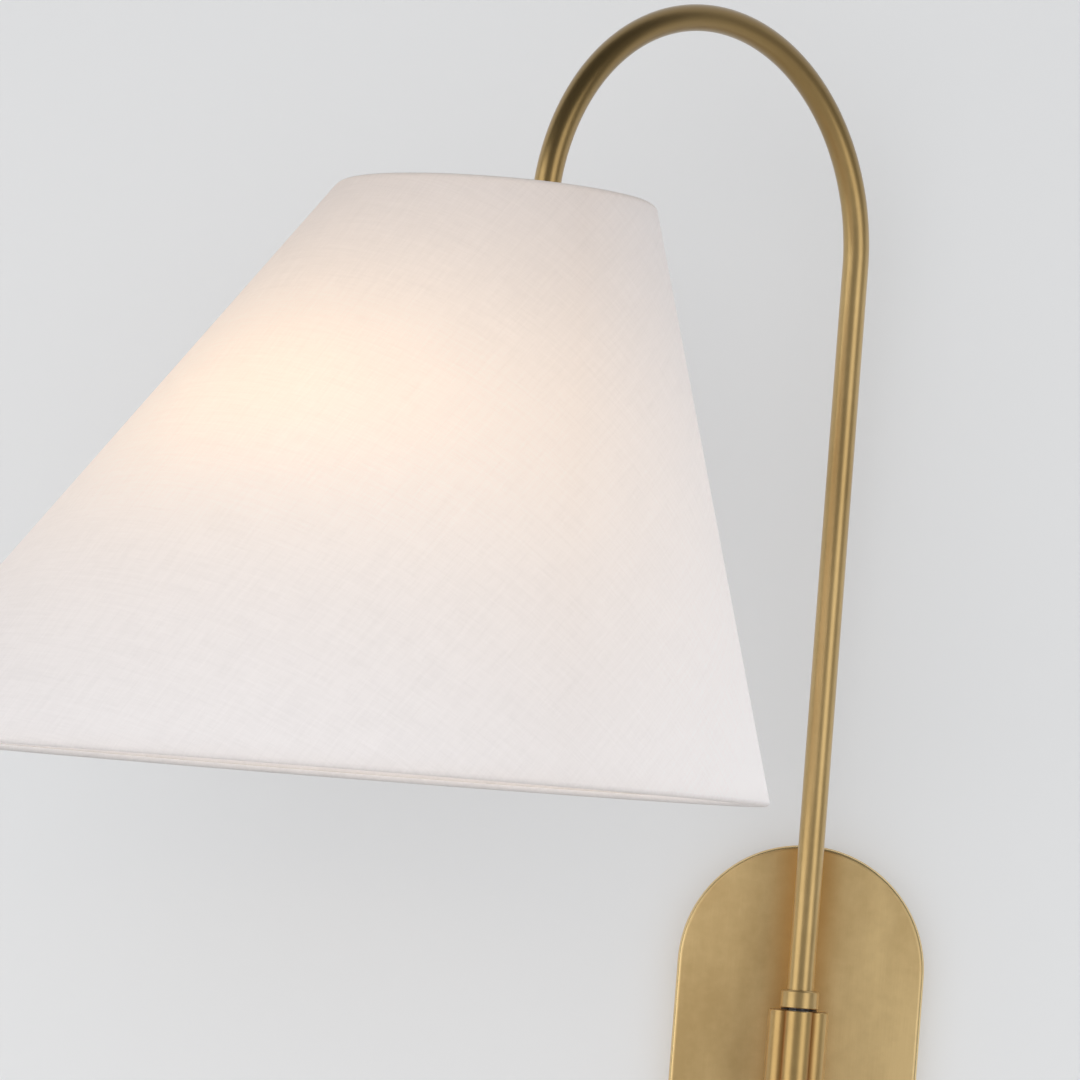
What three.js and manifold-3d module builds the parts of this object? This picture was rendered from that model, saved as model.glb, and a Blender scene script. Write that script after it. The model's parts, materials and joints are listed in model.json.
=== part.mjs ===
// Swing arm wall sconce: stadium back plate, reeded pivot column, gooseneck arm and a
// slanted linen shade. Millimetres, +Z up, the wall is the plane Y = 0 and the room is -Y.
// The origin is the middle of the mounting strap's back face, flat on the wall.
import * as THREE from 'three';
import { mergeVertices } from 'three/addons/utils/BufferGeometryUtils.js';
import Module from 'manifold-3d';

const wasm = await Module();
wasm.setup();

// ---- driving dimensions ----------------------------------------------------------------
const GAP = 0.3;                 // clearance kept between neighbouring pieces
const OVERCUT = 10;              // how far a cutter runs past the faces it cuts through

const PLATE_WIDTH = 114.3;       // 4.5 inch plate over a 4 inch junction box
const PLATE_HEIGHT = 240;
const PLATE_DEPTH = 18;
const PLATE_WALL = 1.6;
const PLATE_EDGE = 2.5;          // rounded front edge

const STANDOFF = 45;             // wall to the column's axis
const COLUMN_RADIUS = 14.5;      // over the crests of the reeds
const COLUMN_GROOVE = 12.6;      // at the bottom of the grooves
const COLUMN_BORE = 8;
const COLUMN_HALF = 44.1;        // half of the column's height
const REEDS = 6;                 // broad ones, one of them facing the room

const COLLAR_RADIUS = 8.75;
const COLLAR_HEIGHT = 8.3;
const COLLAR_CHAMFER = 0.8;      // around the top
const COLLAR_EASE = 0.3;         // around the foot
const SWIVEL_GAP = 1.1;          // thin dark gap that holds the swivel washer
const WASHER_RADIUS = 8.2;
const WASHER_THICK = 0.5;
const COLLAR_FOOT = COLUMN_HALF + SWIVEL_GAP;
const COLLAR_TOP = COLLAR_FOOT + COLLAR_HEIGHT;
const COLLAR_SEAT = COLLAR_FOOT + 2.3;              // the tube stands on this shoulder

const TUBE_RADIUS = 6;           // 12 mm brass tube
const TUBE_BORE = 5;
const ARCH_RADIUS = 99.5;        // centreline of the gooseneck
const ARCH_Z = 387.2;            // height of the gooseneck's centre
const NOSE_Z = 372;              // where the nose starts to bend outward, inside the shade
const NOSE_RADIUS = 40;
const NOSE_ANGLE = THREE.MathUtils.degToRad(30);
const NOSE_STRAIGHT = 14;
const REST_SWING = THREE.MathUtils.degToRad(-45);   // from straight out, towards -X
const SWING_LIMIT = THREE.MathUtils.degToRad(55);

const SHADE_TOP_Z = 390.4;
const SHADE_BOTTOM_Z = 133.5;
const SHADE_TOP_RADIUS = 69.1;
const SHADE_BOTTOM_RADIUS = 194.3;
const SHADE_TOP_U = 2 * ARCH_RADIUS + 28;           // outward distance of the top circle's centre
const SHADE_BOTTOM_U = 2 * ARCH_RADIUS + 108.3;
const SHADE_WALL = 1.2;
const SHADE_SEGMENTS = 72;
const WIRE_RADIUS = 1.2;
const WIRE_INSET = 3.2;          // outer face of the shade to the ring wire's centre
const WIRE_RISE = 1.8;           // edge of the shade to the ring wire's centre
const SEAM_WIDTH = 10;           // overlap of the cloth's two ends, on the arm's side
const SEAM_THICK = 0.8;
const SEAM_MARGIN = 4.2;         // clear of the ring wires at both ends

const SPIDER_Z = 380;            // underside of the spider's hub, on the tube
const SPIDER_HUB_RADIUS = 11;
const SPIDER_HUB_HEIGHT = 3;
const SPIDER_ROD_START = 9.4;    // from the tube's axis
const SPIDER_ANGLES = [Math.PI / 3, Math.PI, -Math.PI / 3];
const FITTER_SEAT = { radius: 9.5, bottom: 376, top: 379.7 };
const FITTER_NUT = { radius: 8.6, bottom: 383.3, top: 388 };

const PIVOT_RADIUS = 4.7;
const PIVOT_BORE = 2.8;
const PIVOT_BOTTOM = 5.5;
const PIVOT_TOP = 60;            // inside the tube's foot
const BUSH_RADIUS = COLUMN_BORE - GAP;
const UPPER_BUSH = { bottom: 36, top: 43.8 };
const LOWER_BUSH = { bottom: 13, top: 19 };
const STOP_Z = 23;               // underside of the stop ring
const STOP_HEIGHT = 4;
const STOP_RING_RADIUS = BUSH_RADIUS - 0.3;
const STOP_PIN_RADIUS = 1.5;
const STOP_PIN_INNER = 5.4;      // from the column's axis
const STOP_PIN_OUTER = 12.4;
const FRICTION_WASHER = { radius: 7.3, bottom: 11.7, top: 12.7 };
const PIVOT_NUT = { flats: 12, bottom: 7.2, top: 11.4 };

const NIPPLE_Z = -6;             // hollow screw from the plate into the column
const NIPPLE_RADIUS = 4.8;
const NIPPLE_BORE = 3.6;
const NIPPLE_INNER = 8.6;        // from the column's axis
const NIPPLE_OUTER = 33.4;
const SPACER_RADIUS = 9;
const PLATE_NUT = { flats: 14, height: 3 };

const STRAP_HALF = 54.6;
const STRAP_WIDTH = 20;
const STRAP_THICK = 1.6;
const STRAP_TAB = 12;
const BOX_SCREW_SPACING = 88.9;  // 3.5 inch, as on a junction box
const BOX_SLOT = { width: 4.6, length: 14 };
const SIDE_SCREW_Y = -7;
const SIDE_HOLE_RADIUS = 2.3;
const SIDE_SCREW = { headRadius: 3.4, headHeight: 1.4, shankRadius: 1.8, shankLength: 7 };
const GROUND_SCREW_X = 20;
const GROUND_SCREW = { headRadius: 3.6, headHeight: 2, shankRadius: 1.6, shankLength: STRAP_THICK };
const DOME = [[0.6, 0.85], [1, 0.3]];   // corners of a screw's dome, as shares of the head's size

// Way points of the leads, from inside the column through the nipple to the splice or the
// ground screw. The neutral lead is on the +X side and the live one mirrors it.
const LEAD_RADIUS = 0.9;
const SUPPLY_PATH = [[1.7, -41, -5], [1.7, -20, -5], [1.7, -11, -5], [8, -6.5, 4], [16, -8, 16], [16, -8, 27]];
const GROUND_PATH = [[0, -39, -8.1], [0, -20, -8.1], [0, -11, -8.1], [7, -7, -9], [14.5, -5, -4.5]];
const WIRE_NUT_PLACE = [16, -8, 27.4];
const WIRE_NUT_PROFILE = [[0, 0], [5.6, 0], [5.6, 2], [4.8, 9], [3, 17], [0, 18]];
const LAMP_LEAD_RADIUS = 2.2;
const LAMP_LEAD_BOTTOM = 2;
const LAMP_LEAD_PAST_TUBE = 9;   // runs on into the socket's cap

const KNOB_RADIUS = COLLAR_RADIUS;
const KNOB_HEIGHT = 12;
const KNOB_FLOOR = 2.5;          // closed bottom of the knob
const SWITCH_SHAFT_RADIUS = 2.8;
const SWITCH_SHAFT_TOP = -28.5;
const SWITCH_BODY = { radius: BUSH_RADIUS - 0.2, bottom: -40, top: -20, boreTop: -28 };
const END_CAP = { bore: SWITCH_SHAFT_RADIUS + 0.5, bottom: -43.8, top: -40.6 };
const SET_SCREW_RADIUS = 1.2;
const SET_SCREW_INNER = 3.2;     // from the column's axis
const SET_SCREW_OUTER = 8.4;

// Lamp holder and bulb, as [radius, z] profiles about the holder's own axis. The tube ends at
// z = 0 and the bulb hangs towards -z.
const NECK_PROFILE = [[2.9, -4.5], [9, -4.5], [9, 8], [TUBE_RADIUS + GAP, 8], [TUBE_RADIUS + GAP, -0.4],
  [2.9, -0.4], [2.9, -4.5]];
const CAP_PROFILE = [[3.2, -6.2], [9.5, -6.2], [14.6, -8.6], [17.8, -14.4], [17.8, -24], [19, -24],
  [19, -14], [15.4, -7.4], [10, -4.8], [3.2, -4.8], [3.2, -6.2]];
const SHELL = { inner: 16.2, outer: 17.4, bottom: -58, top: -15 };
const INSULATOR = { inner: 3, outer: 15.8, bottom: -28, top: -15 };
const THREAD = { inner: 13.2, outer: 13.9, bottom: -52, top: -28.4 };
const CONTACT = { radius: 2.6, bottom: -30, top: -21 };
const BULB_BASE_PROFILE = [[0, -56], [12.8, -56], [12.8, -34], [6, -32.2], [4.5, -30.4], [0, -30.4]];
const BULB_STEM_PROFILE = [[0, -98], [2.5, -97], [3.2, -84], [7, -60], [7, -56.5], [0, -56.5]];
const BULB_NECK = [[12.6, -56.4], [13.4, -62], [17.5, -76]];
const BULB_WALL = 1.2;
const BULB_RADIUS = 30;          // A19 lamp
const BULB_CENTRE = -108;
const BULB_SHOULDER = 0.62;      // angle above the globe's middle where the neck meets it
const BULB_STEPS = 7;

// ---- materials -------------------------------------------------------------------------
const FINISH = {
  brass: { color: 0xa98a55, roughness: 0.35, metalness: 1 },
  steel: { color: 0x9a9c9e, roughness: 0.4, metalness: 1 },
  linen: { color: 0xf2ece4, roughness: 0.95, metalness: 0 },
  seam: { color: 0xd8d2ca, roughness: 0.95, metalness: 0 },
  porcelain: { color: 0xe9e6df, roughness: 0.4, metalness: 0 },
  nylon: { color: 0x2a2a2b, roughness: 0.6, metalness: 0 },
  frosted: { color: 0xfff1dc, roughness: 0.5, metalness: 0 },
  pvc: { color: 0xc9b27a, roughness: 0.5, metalness: 0 },
  green: { color: 0x3c7d4a, roughness: 0.45, metalness: 0.4 },
  nut: { color: 0xd77b2c, roughness: 0.5, metalness: 0 },
};

const sconce = new THREE.Group();
const arm = new THREE.Group();   // its +X axis points outward along the arm
arm.position.set(0, -STANDOFF, 0);
arm.rotation.z = -Math.PI / 2 + REST_SWING;
const knob = new THREE.Group();
knob.position.set(0, -STANDOFF, 0);
sconce.add(arm, knob);

function addPiece(parent, name, geometry, finish) {
  const mesh = new THREE.Mesh(geometry, new THREE.MeshStandardMaterial(FINISH[finish]));
  mesh.name = name;
  parent.add(mesh);
  return mesh;
}

// ---- solid helpers ---------------------------------------------------------------------
function toSolid(geometry) {
  const bare = geometry.clone();
  bare.deleteAttribute('normal');
  bare.deleteAttribute('uv');
  const merged = mergeVertices(bare, 1e-4);
  return new wasm.Manifold(new wasm.Mesh({
    numProp: 3,
    vertProperties: new Float32Array(merged.attributes.position.array),
    triVerts: new Uint32Array(merged.index.array),
  }));
}

function toGeometry(solid) {
  const mesh = solid.getMesh();
  const geometry = new THREE.BufferGeometry();
  geometry.setAttribute('position', new THREE.BufferAttribute(mesh.vertProperties, 3));
  geometry.setIndex(new THREE.BufferAttribute(mesh.triVerts, 1));
  geometry.computeVertexNormals();
  return geometry;
}

function cutAway(geometry, ...cutters) {
  let solid = toSolid(geometry);
  for (const cutter of cutters) {
    solid = solid.subtract(toSolid(cutter));
  }
  return toGeometry(solid);
}

function common(geometry, other) {
  return toGeometry(toSolid(geometry).intersect(toSolid(other)));
}

function joined(geometry, ...others) {
  let solid = toSolid(geometry);
  for (const other of others) {
    solid = solid.add(toSolid(other));
  }
  return toGeometry(solid);
}

// A profile of [radius, z] points turned about the Z axis. A ring's profile closes on itself.
function turned(points, segments = 24) {
  const profile = points.map(([radius, z]) => new THREE.Vector2(radius, z));
  return new THREE.LatheGeometry(profile, segments).rotateX(Math.PI / 2);
}

function ring(inner, outer, bottom, top, segments = 24) {
  return turned([[inner, bottom], [outer, bottom], [outer, top], [inner, top], [inner, bottom]], segments);
}

function disc(radius, bottom, top, segments = 24) {
  return turned([[0, bottom], [radius, bottom], [radius, top], [0, top]], segments);
}

// A round rod between two points.
function rod(radius, from, to, sides = 12) {
  const start = new THREE.Vector3(...from);
  const along = new THREE.Vector3(...to).sub(start);
  const geometry = new THREE.CylinderGeometry(radius, radius, along.length(), sides);
  const turn = new THREE.Quaternion().setFromUnitVectors(
    new THREE.Vector3(0, 1, 0), along.clone().normalize());
  geometry.applyQuaternion(turn);
  return geometry.translate(...start.addScaledVector(along, 0.5));
}

function block(low, high) {
  const size = high.map((value, i) => value - low[i]);
  const middle = high.map((value, i) => (value + low[i]) / 2);
  return new THREE.BoxGeometry(...size).translate(...middle);
}

// A hexagonal nut between two heights on the Z axis.
function hexNut(flats, bore, bottom, top) {
  const corner = flats / 2 / Math.cos(Math.PI / 6);
  const shape = new THREE.Shape();
  for (let i = 0; i < 6; i += 1) {
    const angle = i * Math.PI / 3;
    const point = [corner * Math.cos(angle), corner * Math.sin(angle)];
    if (i === 0) shape.moveTo(...point);
    else shape.lineTo(...point);
  }
  shape.closePath();
  const hole = new THREE.Path();
  hole.absarc(0, 0, bore, 0, 2 * Math.PI, true);
  shape.holes.push(hole);
  return new THREE.ExtrudeGeometry(shape, { depth: top - bottom, bevelEnabled: false, curveSegments: 8 })
    .translate(0, 0, bottom);
}

// A path of lines and arcs. Each stretch has its own number of steps, so that the
// straight ones stay single facets.
class StretchPath extends THREE.Curve {
  constructor(stretches) {
    super();
    this.stretches = stretches;
    this.steps = stretches.reduce((sum, stretch) => sum + stretch.steps, 0);
  }

  locate(t) {
    let place = Math.min(Math.max(t, 0), 1) * this.steps;
    for (const stretch of this.stretches) {
      if (place <= stretch.steps) return [stretch.curve, place / stretch.steps];
      place -= stretch.steps;
    }
    return [this.stretches[this.stretches.length - 1].curve, 1];
  }

  getPoint(t) {
    const [curve, local] = this.locate(t);
    return curve.getPoint(local);
  }

  getTangent(t) {
    const [curve, local] = this.locate(t);
    return curve.getTangent(local);
  }

  getPointAt(t) {
    return this.getPoint(t);
  }

  getTangentAt(t) {
    return this.getTangent(t);
  }
}

class ArcInPlane extends THREE.Curve {
  // An arc in the arm's own XZ plane, about (x, z), from one angle to another.
  constructor(x, z, radius, from, to) {
    super();
    Object.assign(this, { x, z, radius, from, to });
  }

  getPoint(t) {
    const angle = this.from + (this.to - this.from) * t;
    return new THREE.Vector3(
      this.x + this.radius * Math.cos(angle), 0, this.z + this.radius * Math.sin(angle));
  }

  getTangent(t) {
    const angle = this.from + (this.to - this.from) * t;
    const sign = Math.sign(this.to - this.from);
    return new THREE.Vector3(-Math.sin(angle) * sign, 0, Math.cos(angle) * sign);
  }
}

function alongPath(path, radius, bore, sides) {
  const shape = new THREE.Shape();
  shape.absarc(0, 0, radius, 0, 2 * Math.PI, false);
  if (bore > 0) {
    const hole = new THREE.Path();
    hole.absarc(0, 0, bore, 0, 2 * Math.PI, true);
    shape.holes.push(hole);
  }
  return new THREE.ExtrudeGeometry(shape, {
    steps: path.steps, extrudePath: path, curveSegments: sides, bevelEnabled: false,
  });
}

// ---- back plate ------------------------------------------------------------------------
// A stadium outline in the plane of the wall (x across, z up).
function stadium(width, height) {
  const radius = width / 2;
  const centre = height / 2 - radius;
  const shape = new THREE.Shape();
  shape.absarc(0, centre, radius, 0, Math.PI, false);
  shape.absarc(0, -centre, radius, Math.PI, 2 * Math.PI, false);
  shape.closePath();
  return shape;
}

// Stands a shape drawn in x and z up against the wall, from y = -near to y = -far.
function standUp(geometry, near) {
  return geometry.rotateX(Math.PI / 2).translate(0, -near, 0);
}

function plateCover() {
  const outer = standUp(new THREE.ExtrudeGeometry(
    stadium(PLATE_WIDTH - 2 * PLATE_EDGE, PLATE_HEIGHT - 2 * PLATE_EDGE), {
      depth: PLATE_DEPTH - PLATE_EDGE, curveSegments: 14, bevelEnabled: true,
      bevelThickness: PLATE_EDGE, bevelSize: PLATE_EDGE, bevelSegments: 3,
    }), 0);
  const hollow = standUp(new THREE.ExtrudeGeometry(
    stadium(PLATE_WIDTH - 2 * PLATE_WALL, PLATE_HEIGHT - 2 * PLATE_WALL), {
      depth: PLATE_DEPTH - PLATE_WALL + OVERCUT, curveSegments: 14, bevelEnabled: false,
    }), -OVERCUT);
  const behind = block([-PLATE_WIDTH, 0, -PLATE_HEIGHT], [PLATE_WIDTH, OVERCUT, PLATE_HEIGHT]);
  const nippleHole = rod(NIPPLE_RADIUS + GAP, [0, -PLATE_DEPTH - OVERCUT, NIPPLE_Z], [0, 0, NIPPLE_Z], 24);
  const screwHole = rod(SIDE_HOLE_RADIUS, [-PLATE_WIDTH, SIDE_SCREW_Y, 0], [PLATE_WIDTH, SIDE_SCREW_Y, 0], 16);
  return cutAway(outer, behind, hollow, nippleHole, screwHole);
}

function mountingStrap() {
  const half = STRAP_WIDTH / 2;
  const bar = block([-STRAP_HALF, -STRAP_THICK, -half], [STRAP_HALF, 0, half]);
  const tabs = [-1, 1].map((side) => {
    const inner = side * (STRAP_HALF - STRAP_THICK);
    const outer = side * STRAP_HALF;
    return block([Math.min(inner, outer), -STRAP_TAB, -half], [Math.max(inner, outer), 0, half]);
  });
  const tapped = rod(SIDE_HOLE_RADIUS, [-PLATE_WIDTH, SIDE_SCREW_Y, 0], [PLATE_WIDTH, SIDE_SCREW_Y, 0], 16);
  const groundHole = rod(GROUND_SCREW.shankRadius + GAP,
    [GROUND_SCREW_X, -OVERCUT, 0], [GROUND_SCREW_X, OVERCUT, 0], 16);
  const slots = [-1, 1].map((side) => {
    const slot = stadium(BOX_SLOT.width, BOX_SLOT.length);
    const cutter = new THREE.ExtrudeGeometry(slot, {
      depth: 2 * OVERCUT, bevelEnabled: false, curveSegments: 4,
    });
    return standUp(cutter.rotateZ(Math.PI / 2), -OVERCUT).translate(side * BOX_SCREW_SPACING / 2, 0, 0);
  });
  return cutAway(joined(bar, ...tabs), tapped, groundHole, ...slots);
}

// A screw along Z: a domed head above z = 0 and a shank below it.
function domedScrew({ headRadius, headHeight, shankRadius, shankLength }) {
  const dome = DOME.map(([across, up]) => [headRadius * across, headHeight * up]);
  return turned([[0, headHeight], ...dome, [headRadius, 0], [shankRadius, 0], [shankRadius, -shankLength],
    [0, -shankLength]].reverse(), 20);
}

function buildPlate() {
  addPiece(sconce, 'plate_cover', plateCover(), 'brass');
  addPiece(sconce, 'mounting_strap', mountingStrap(), 'steel');
  for (const [name, side] of [['cover_screw_left', -1], ['cover_screw_right', 1]]) {
    const screw = addPiece(sconce, name, domedScrew(SIDE_SCREW), 'brass');
    screw.position.set(side * (PLATE_WIDTH / 2 + GAP), SIDE_SCREW_Y, 0);
    screw.rotation.y = side * Math.PI / 2;
  }
  const ground = addPiece(sconce, 'ground_screw', domedScrew(GROUND_SCREW), 'green');
  ground.position.set(GROUND_SCREW_X, -STRAP_THICK - GAP, 0);
  ground.rotation.x = Math.PI / 2;
}

// ---- column and its fixing to the plate ------------------------------------------------
function reededOutline() {
  const pitch = 2 * Math.PI / REEDS;
  const halfChord = COLUMN_GROOVE * Math.sin(pitch / 2);
  const rise = COLUMN_RADIUS - COLUMN_GROOVE * Math.cos(pitch / 2);
  const reedRadius = (halfChord ** 2 + rise ** 2) / (2 * rise);
  const reach = Math.asin(halfChord / reedRadius);
  const shape = new THREE.Shape();
  for (let i = 0; i < REEDS; i += 1) {
    const middle = (i + 0.5) * pitch;
    const away = COLUMN_RADIUS - reedRadius;
    shape.absarc(away * Math.cos(middle), away * Math.sin(middle), reedRadius,
      middle - reach, middle + reach, false);
  }
  shape.closePath();
  return shape;
}

function reededColumn() {
  const column = new THREE.ExtrudeGeometry(reededOutline(), {
    depth: 2 * COLUMN_HALF, bevelEnabled: false, curveSegments: 8,
  }).translate(0, 0, -COLUMN_HALF);
  const bore = disc(COLUMN_BORE, -COLUMN_HALF - OVERCUT, COLUMN_HALF + OVERCUT, 32);
  const nippleHole = rod(NIPPLE_RADIUS + GAP, [0, 0, NIPPLE_Z], [0, STANDOFF, NIPPLE_Z], 24);
  const pinZ = STOP_Z + STOP_HEIGHT / 2;
  const pinHole = rod(STOP_PIN_RADIUS + GAP, [0, 0, pinZ], [0, STANDOFF, pinZ]);
  return cutAway(column, bore, nippleHole, pinHole);
}

// Stands between the plate and the column, hollowed to the column's round back.
function columnSpacer() {
  const back = STANDOFF - PLATE_DEPTH - GAP;
  const post = rod(SPACER_RADIUS, [0, COLUMN_BORE, NIPPLE_Z], [0, back, NIPPLE_Z], 24);
  const bore = rod(NIPPLE_RADIUS + GAP, [0, 0, NIPPLE_Z], [0, STANDOFF, NIPPLE_Z], 20);
  return cutAway(post, disc(COLUMN_RADIUS + GAP, -COLUMN_HALF, COLUMN_HALF, 48), bore);
}

function hollowNipple() {
  return cutAway(rod(NIPPLE_RADIUS, [0, NIPPLE_INNER, NIPPLE_Z], [0, NIPPLE_OUTER, NIPPLE_Z], 24),
    rod(NIPPLE_BORE, [0, 0, NIPPLE_Z], [0, STANDOFF, NIPPLE_Z], 16));
}

function buildColumn() {
  const column = new THREE.Group();
  column.position.set(0, -STANDOFF, 0);
  sconce.add(column);
  addPiece(column, 'reeded_column', reededColumn(), 'brass');
  addPiece(column, 'column_spacer', columnSpacer(), 'brass');
  addPiece(column, 'hollow_nipple', hollowNipple(), 'steel');
  for (const [name, bush] of [['upper_bush', UPPER_BUSH], ['lower_bush', LOWER_BUSH]]) {
    addPiece(column, name, ring(PIVOT_RADIUS + GAP, BUSH_RADIUS, bush.bottom, bush.top), 'nylon');
  }
  const pinZ = STOP_Z + STOP_HEIGHT / 2;
  addPiece(column, 'stop_pin',
    rod(STOP_PIN_RADIUS, [0, STOP_PIN_INNER, pinZ], [0, STOP_PIN_OUTER, pinZ]), 'steel');
  const plateNut = addPiece(sconce, 'plate_nut',
    hexNut(PLATE_NUT.flats, NIPPLE_RADIUS + GAP, 0, PLATE_NUT.height), 'steel');
  plateNut.rotation.x = -Math.PI / 2;
  plateNut.position.set(0, PLATE_WALL + GAP - PLATE_DEPTH, NIPPLE_Z);
  addPiece(column, 'switch_body', cutAway(disc(SWITCH_BODY.radius, SWITCH_BODY.bottom, SWITCH_BODY.top),
    disc(SWITCH_SHAFT_RADIUS + GAP, SWITCH_BODY.bottom - OVERCUT, SWITCH_BODY.boreTop)), 'nylon');
  addPiece(column, 'column_end_cap', ring(END_CAP.bore, BUSH_RADIUS, END_CAP.bottom, END_CAP.top), 'brass');
}

// ---- wiring behind the plate -----------------------------------------------------------
function lead(points, radius, steps) {
  const path = new THREE.CatmullRomCurve3(points.map((point) => new THREE.Vector3(...point)));
  path.steps = steps;
  return alongPath(path, radius, 0, 3);
}

function buildWiring() {
  for (const [name, side] of [['live', -1], ['neutral', 1]]) {
    const mirrored = ([x, y, z]) => [side * x, y, z];
    addPiece(sconce, `${name}_lead`, lead(SUPPLY_PATH.map(mirrored), LEAD_RADIUS, 16), 'pvc');
    const wireNut = addPiece(sconce, `wire_nut_${name}`, turned(WIRE_NUT_PROFILE, 16), 'nut');
    wireNut.position.set(...mirrored(WIRE_NUT_PLACE));
  }
  addPiece(sconce, 'ground_lead', lead(GROUND_PATH, LEAD_RADIUS, 14), 'green');
}

// ---- swivel ----------------------------------------------------------------------------
function swivelCollar() {
  return turned([[PIVOT_RADIUS + GAP, COLLAR_FOOT], [COLLAR_RADIUS - COLLAR_EASE, COLLAR_FOOT],
    [COLLAR_RADIUS, COLLAR_FOOT + COLLAR_EASE], [COLLAR_RADIUS, COLLAR_TOP - COLLAR_CHAMFER],
    [COLLAR_RADIUS - COLLAR_CHAMFER, COLLAR_TOP], [TUBE_RADIUS + GAP, COLLAR_TOP],
    [TUBE_RADIUS + GAP, COLLAR_SEAT], [PIVOT_RADIUS + GAP, COLLAR_SEAT],
    [PIVOT_RADIUS + GAP, COLLAR_FOOT]], 32);
}

// A ring with a notch that runs over the fixed stop pin and ends the swing at both limits.
function stopRing() {
  const pinReach = Math.asin(STOP_PIN_RADIUS / STOP_PIN_INNER) + THREE.MathUtils.degToRad(1);
  const notch = SWING_LIMIT + pinReach;
  const shape = new THREE.Shape();
  shape.absarc(0, 0, STOP_RING_RADIUS, Math.PI + notch, 3 * Math.PI - notch, false);
  shape.absarc(0, 0, PIVOT_RADIUS + GAP, 3 * Math.PI - notch, Math.PI + notch, true);
  shape.closePath();
  return new THREE.ExtrudeGeometry(shape, {
    depth: STOP_HEIGHT, bevelEnabled: false, curveSegments: 8,
  }).translate(0, 0, STOP_Z);
}

function buildSwivel() {
  const washerFoot = COLUMN_HALF + GAP;
  addPiece(arm, 'swivel_washer',
    ring(PIVOT_RADIUS + GAP, WASHER_RADIUS, washerFoot, washerFoot + WASHER_THICK), 'nylon');
  addPiece(arm, 'swivel_collar', swivelCollar(), 'brass');
  addPiece(arm, 'pivot_spindle', ring(PIVOT_BORE, PIVOT_RADIUS, PIVOT_BOTTOM, PIVOT_TOP), 'steel');
  addPiece(arm, 'stop_ring', stopRing(), 'steel');
  addPiece(arm, 'friction_washer',
    ring(PIVOT_RADIUS + GAP, FRICTION_WASHER.radius, FRICTION_WASHER.bottom, FRICTION_WASHER.top), 'steel');
  addPiece(arm, 'pivot_nut',
    hexNut(PIVOT_NUT.flats, PIVOT_RADIUS + GAP, PIVOT_NUT.bottom, PIVOT_NUT.top), 'steel');
}

// ---- gooseneck -------------------------------------------------------------------------
const tubeEnd = ARCH_RADIUS * 2;
const noseCentreU = tubeEnd + NOSE_RADIUS;
const bentU = noseCentreU - NOSE_RADIUS * Math.cos(NOSE_ANGLE);
const bentZ = NOSE_Z - NOSE_RADIUS * Math.sin(NOSE_ANGLE);
const noseEnd = [
  bentU + NOSE_STRAIGHT * Math.sin(NOSE_ANGLE), 0, bentZ - NOSE_STRAIGHT * Math.cos(NOSE_ANGLE)];

// The arm's centreline from a height in the column to a distance past the tube's end.
function armPath(bottom, pastEnd, archSteps) {
  const line = (from, to) => new THREE.LineCurve3(new THREE.Vector3(...from), new THREE.Vector3(...to));
  const last = [
    noseEnd[0] + pastEnd * Math.sin(NOSE_ANGLE), 0, noseEnd[2] - pastEnd * Math.cos(NOSE_ANGLE)];
  return new StretchPath([
    { curve: line([0, 0, bottom], [0, 0, ARCH_Z]), steps: 1 },
    { curve: new ArcInPlane(ARCH_RADIUS, ARCH_Z, ARCH_RADIUS, Math.PI, 0), steps: archSteps },
    { curve: line([tubeEnd, 0, ARCH_Z], [tubeEnd, 0, NOSE_Z]), steps: 1 },
    { curve: new ArcInPlane(noseCentreU, NOSE_Z, NOSE_RADIUS, Math.PI, Math.PI + NOSE_ANGLE), steps: 3 },
    { curve: line([bentU, 0, bentZ], last), steps: 1 },
  ]);
}

function buildTube() {
  const foot = COLLAR_SEAT + GAP;
  addPiece(arm, 'arm_tube', alongPath(armPath(foot, 0, 22), TUBE_RADIUS, TUBE_BORE, 8), 'brass');
  addPiece(arm, 'lamp_lead',
    alongPath(armPath(LAMP_LEAD_BOTTOM, LAMP_LEAD_PAST_TUBE, 16), LAMP_LEAD_RADIUS, 0, 4), 'pvc');
}

// ---- shade -----------------------------------------------------------------------------
// The shade's circles slide outward as they go down: how far, at a height.
const SLANT = (SHADE_BOTTOM_U - SHADE_TOP_U) / (SHADE_TOP_Z - SHADE_BOTTOM_Z);
const centreAt = (z) => SHADE_TOP_U + (SHADE_TOP_Z - z) * SLANT;
const radiusAt = (z) => SHADE_TOP_RADIUS
  + (SHADE_TOP_Z - z) * (SHADE_BOTTOM_RADIUS - SHADE_TOP_RADIUS) / (SHADE_TOP_Z - SHADE_BOTTOM_Z);

// A band of the slanted cone between two heights and two insets from its outer face.
function coneBand(bottom, top, outerInset, innerInset, segments) {
  const corners = [[bottom, innerInset], [bottom, outerInset], [top, outerInset], [top, innerInset],
    [bottom, innerInset]];
  const band = turned(corners.map(([z, inset]) => [radiusAt(z) - inset, z]), segments);
  const slide = new THREE.Matrix4().makeTranslation(SHADE_TOP_U + SHADE_TOP_Z * SLANT, 0, 0)
    .multiply(new THREE.Matrix4().makeShear(0, 0, 0, 0, -SLANT, 0));
  return band.applyMatrix4(slide);
}

function wireRing(z) {
  const geometry = new THREE.TorusGeometry(radiusAt(z) - WIRE_INSET, WIRE_RADIUS, 6, 48);
  return geometry.translate(centreAt(z), 0, z);
}

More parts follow.
